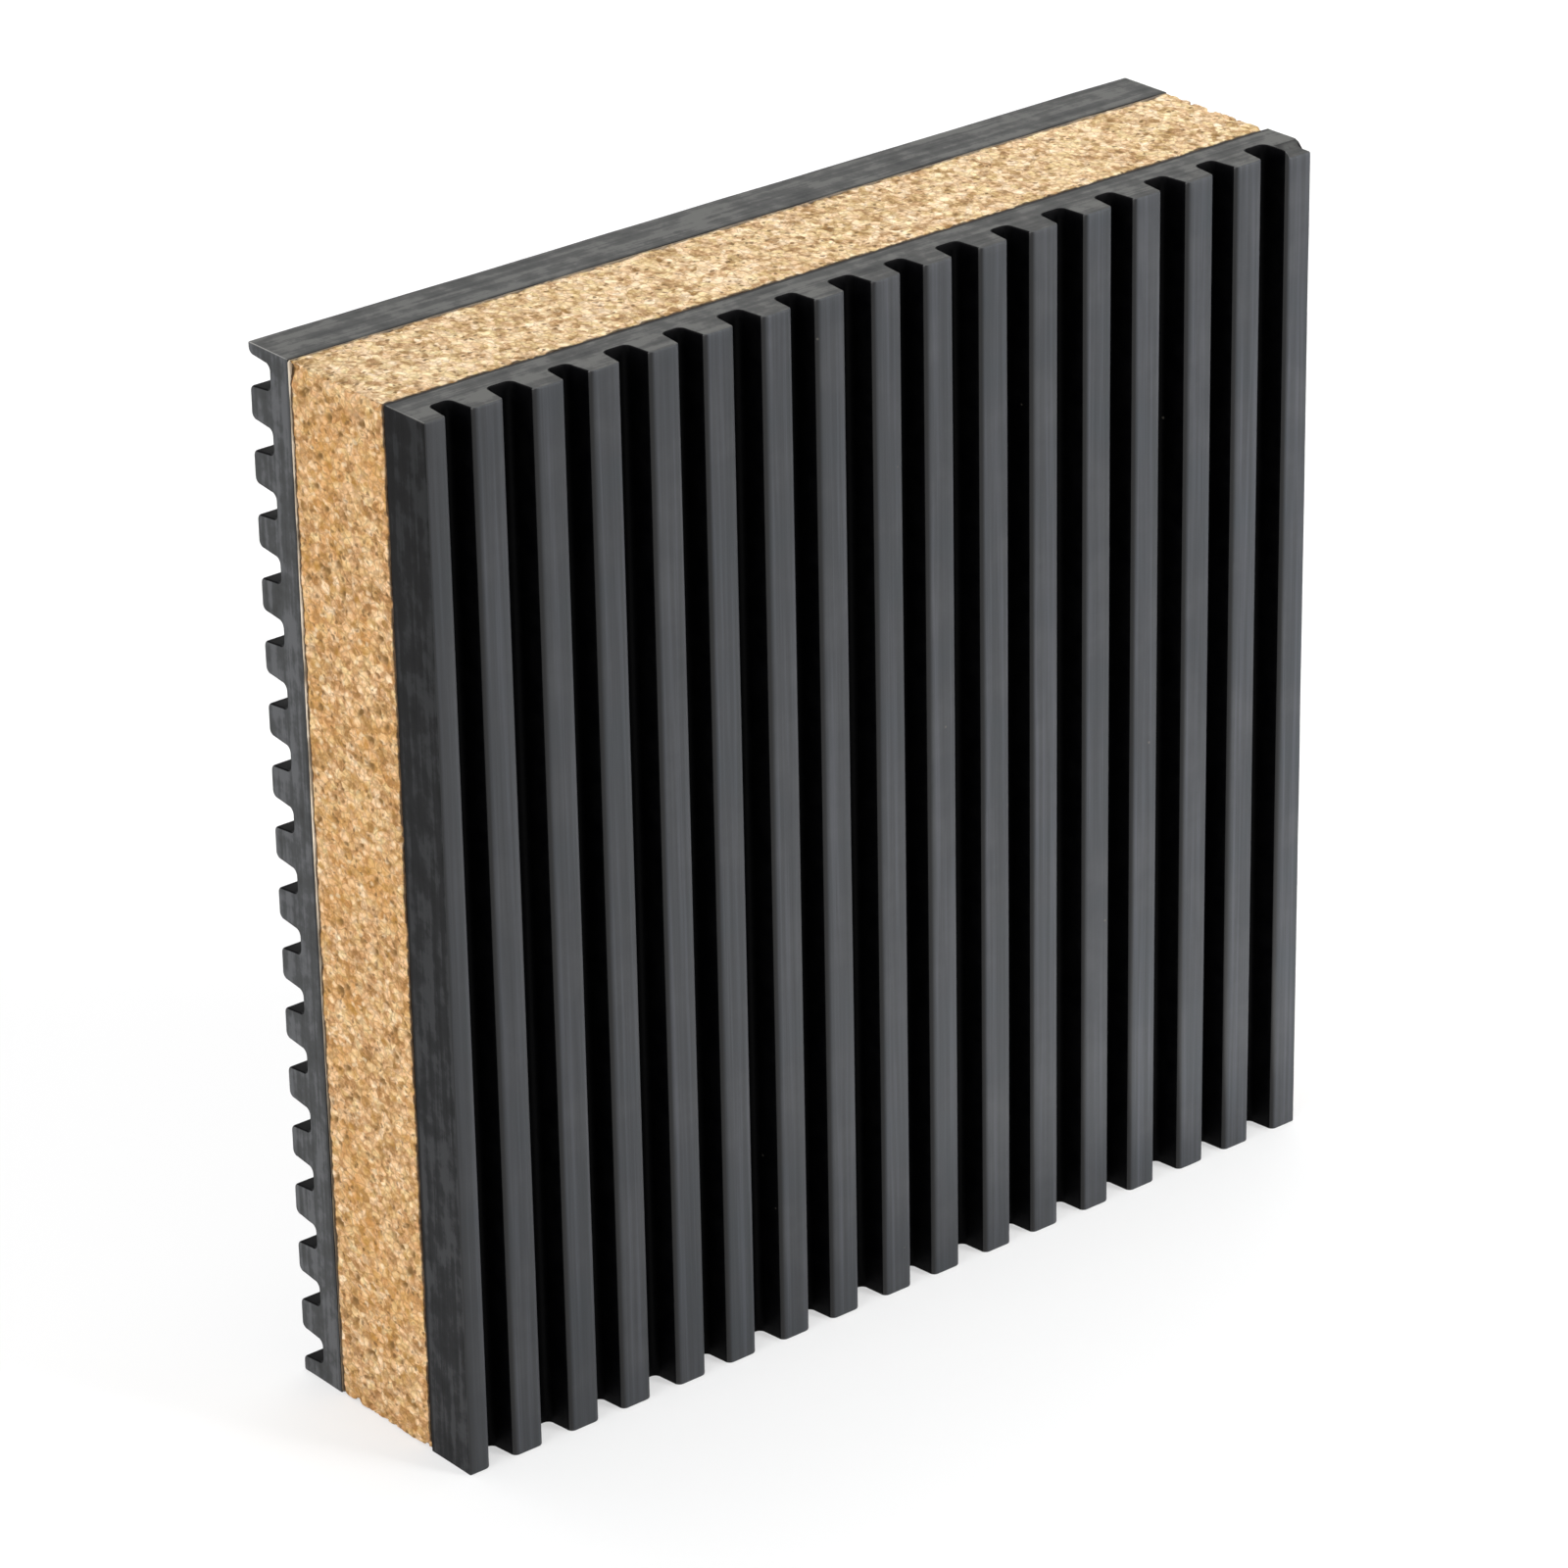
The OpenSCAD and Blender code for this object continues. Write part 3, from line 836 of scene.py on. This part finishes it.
def makeAdhesive(s):
    # Dried contact adhesive: near black at the front, brown at the rear, and cream where it was squeezed out
    material, tree = newMaterial("driedContactAdhesive")
    place = addNode(tree, "TexCoord").outputs["Object"]
    cream = addNode(tree, "Attribute", {"attribute_name": "cream"}).outputs["Fac"]
    clouds = addNode(tree, "TexNoise", {"Scale": 1 / (s["cloud"] * mm), "Detail": 3}, {"Vector": place})
    frontDark, brown, pale = (addNode(tree, "ValToRGB", {"stops": s[key]}, {"Fac": clouds})
                          for key in ("frontDark", "brown", "pale"))
    parts = addNode(tree, "SeparateXYZ", links={0: place})
    behind = addNode(tree, "Math", {"operation": "GREATER_THAN", 1: 0}, {0: parts.outputs["Y"]})
    thin = addNode(tree, "Mix", {"data_type": "RGBA"}, {"Factor": behind, "A": frontDark, "B": brown})
    colour = addNode(tree, "Mix", {"data_type": "RGBA"}, {"Factor": cream, "A": thin, "B": pale})
    shader = addNode(tree, "BsdfPrincipled", {"IOR": 1.5, "Roughness": 0.5}, {"Base Color": colour})
    addNode(tree, "OutputMaterial", links={"Surface": shader})
    return material


frontRubber = makeRubber("mouldedRubberUpright", "Z", rubberFinish)
rearRubber = makeRubber("mouldedRubberLevel", "X", rubberFinish)
grooveRubber = makeGrooveRubber(rubberFinish)
cutRubber = makeCutRubber(cutFinish)
cork = makeCork(corkFinish)
adhesive = makeAdhesive(adhesiveFinish)
print("materials made")

makePiece("frontRibbedSheet", ribbedSheet("front", sheetSettings), [frontRubber, cutRubber, grooveRubber],
          "front_ribbed_sheet")
makePiece("rearRibbedSheet", ribbedSheet("rear", sheetSettings), [rearRubber, cutRubber, grooveRubber],
          "rear_ribbed_sheet")
corkPatches, corkValues = corkCore(corkSettings)
makePiece("corkCore", corkPatches, [cork], "cork_core", 60, corkValues)
for side, squeezed, filmSeed in (("front", 0.0, 71), ("rear", 1.0, 83)):
    filmPatches, filmValues = bondFilm(side, squeezed, filmSeed, filmSettings)
    makePiece(side + "BondFilm", filmPatches, [adhesive], side + "_bond_film", 60, filmValues)
print("pieces made")


# Floor, world and lamps

studioSettings = {
    "floorSize": 6.0,           # metres
    "paper": "#f6f6f6",
    "floorGlow": 0.55,          # share of the floor's white that is the background's own
    "worldLevel": 0.3,
    "whiteFrom": 0.25,          # metres from the mat where its own shading begins to fade, and where it ends
    "whiteTo": 0.9,
    "lamps": {
        # name: (place in metres, size in metres, watts, point it faces, spread in degrees). The key is aimed
        # past the mat's right side, so its light falls off to the left. The two panels lie before the lower
        # right corner
        "keySoftbox": ((0.6, -0.75, 0.45), 0.6, 2.8, (0.35, 0.1, 0.05), 60),
        "topSoftbox": ((0.1, 0.25, 1.1), 0.9, 8.9, (0, 0, 0.05), 180),
        "leftSoftbox": ((-1.0, -0.2, 0.5), 0.7, 7.2, (0, 0, 0.05), 180),
        "cornerPanel": ((0.06, -0.05, 0.002), 0.06, 0.009, (0.06, -0.05, 1), 180),
        "lowPanel": ((0.028, -0.047, 0.002), 0.045, 0.008, (0.028, -0.047, 1), 180),
    },
}


def whiteRays(tree):
    # 1 for what the camera sees, in gloss and through glass too, and 0 for the light on the mat
    rays = addNode(tree, "LightPath").outputs
    seen = addNode(tree, "Math", {"operation": "MAXIMUM"},
                   {0: rays["Is Camera Ray"], 1: rays["Is Glossy Ray"]})
    return addNode(tree, "Math", {"operation": "MAXIMUM"}, {0: seen, 1: rays["Is Transmission Ray"]})


def makeFloor(s):
    # Paper that is white to the camera, and keeps part of its own shading near the mat, with the mat's shadow
    material, tree = newMaterial("paperSweep")
    place = addNode(tree, "TexCoord").outputs["Object"]
    away = addNode(tree, "VectorMath", {"operation": "LENGTH"}, {0: place})
    glowing = addNode(tree, "MapRange", {"interpolation_type": "SMOOTHSTEP", "From Min": s["whiteFrom"],
                      "From Max": s["whiteTo"], "To Min": s["floorGlow"], "To Max": 1}, {"Value": away})
    share = addNode(tree, "Math", {"operation": "MULTIPLY"}, {0: whiteRays(tree), 1: glowing})
    paper = addNode(tree, "BsdfDiffuse", {"Color": s["paper"]})
    glow = addNode(tree, "Emission", {"Strength": 1})
    mixed = addNode(tree, "MixShader", links={0: share, 1: paper, 2: glow})
    addNode(tree, "OutputMaterial", links={"Surface": mixed})
    half = s["floorSize"] / 2
    mesh = bpy.data.meshes.new("floor")
    mesh.from_pydata([(-half, -half, 0), (half, -half, 0), (half, half, 0), (-half, half, 0)], [],
                     [(0, 1, 2, 3)])
    mesh.materials.append(material)
    floor = bpy.data.objects.new("floor", mesh)
    bpy.context.scene.collection.objects.link(floor)


def makeWorld(s):
    world = bpy.data.worlds.new("studioWorld")
    world.use_nodes = True
    tree = world.node_tree
    tree.nodes.clear()
    level = addNode(tree, "MapRange", {"To Min": s["worldLevel"], "To Max": 1}, {"Value": whiteRays(tree)})
    background = addNode(tree, "Background", {"Color": "#ffffff"}, {"Strength": level})
    addNode(tree, "OutputWorld", links={"Surface": background})
    bpy.context.scene.world = world


def makeLamps(lamps):
    # Square softboxes that the camera doesn't see
    for name, (place, size, watts, aim, spread) in lamps.items():
        data = bpy.data.lights.new(name, "AREA")
        data.shape, data.size, data.energy, data.spread = "SQUARE", size, watts, math.radians(spread)
        lamp = bpy.data.objects.new(name, data)
        lamp.location = place
        lamp.rotation_euler = (Vector(aim) - Vector(place)).to_track_quat("-Z", "Y").to_euler()
        lamp.visible_camera = False
        bpy.context.scene.collection.objects.link(lamp)


makeFloor(studioSettings)
makeWorld(studioSettings)
makeLamps(studioSettings["lamps"])
bpy.context.scene.view_settings.view_transform = "Standard"
print("studio lit")
